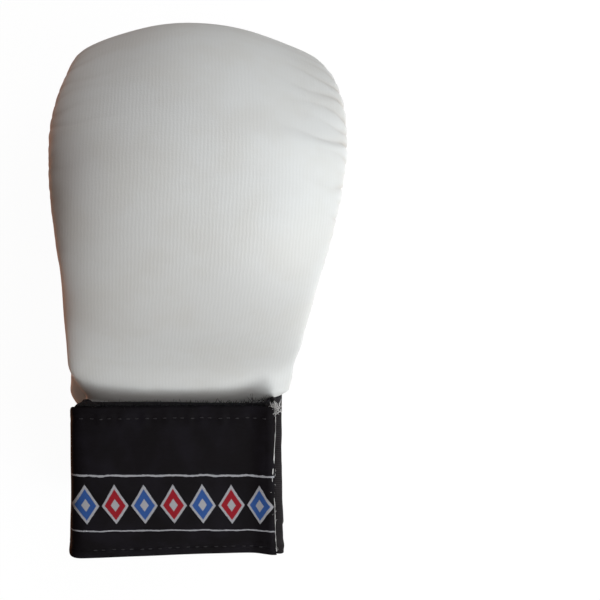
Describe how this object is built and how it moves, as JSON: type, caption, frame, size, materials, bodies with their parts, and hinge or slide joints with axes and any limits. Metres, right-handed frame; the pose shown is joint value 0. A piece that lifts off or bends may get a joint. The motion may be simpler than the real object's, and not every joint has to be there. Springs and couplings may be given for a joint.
{
  "type": "karate glove",
  "caption": "Slip-on karate glove with a curved, gathered foam back pad, open palm with two elastic straps and a wide elastic wrist cuff.",
  "frame": {"origin": "middle of the footprint, on the surface that the glove lies on palm down", "axes": "+Y from the cuff towards the fingers, +Z from the palm to the back of the hand, +X across to the right"},
  "size_m": [0.111, 0.2204, 0.1162],
  "materials": {
    "white_leatherette": "semi-matt",
    "inner_lining": "matt",
    "black_elastic": "ribbed, matt",
    "woven_label": "satin weave"
  },
  "bodies": {
    "root": {"back_pad": "white_leatherette", "lining": "inner_lining", "finger_roll": "white_leatherette", "side_panel_right": "white_leatherette", "side_panel_left": "white_leatherette", "heel_panel": "white_leatherette", "finger_strap": "black_elastic", "palm_strap": "black_elastic", "cuff": "black_elastic", "cuff_label": "woven_label"}
  },
  "joints": []
}
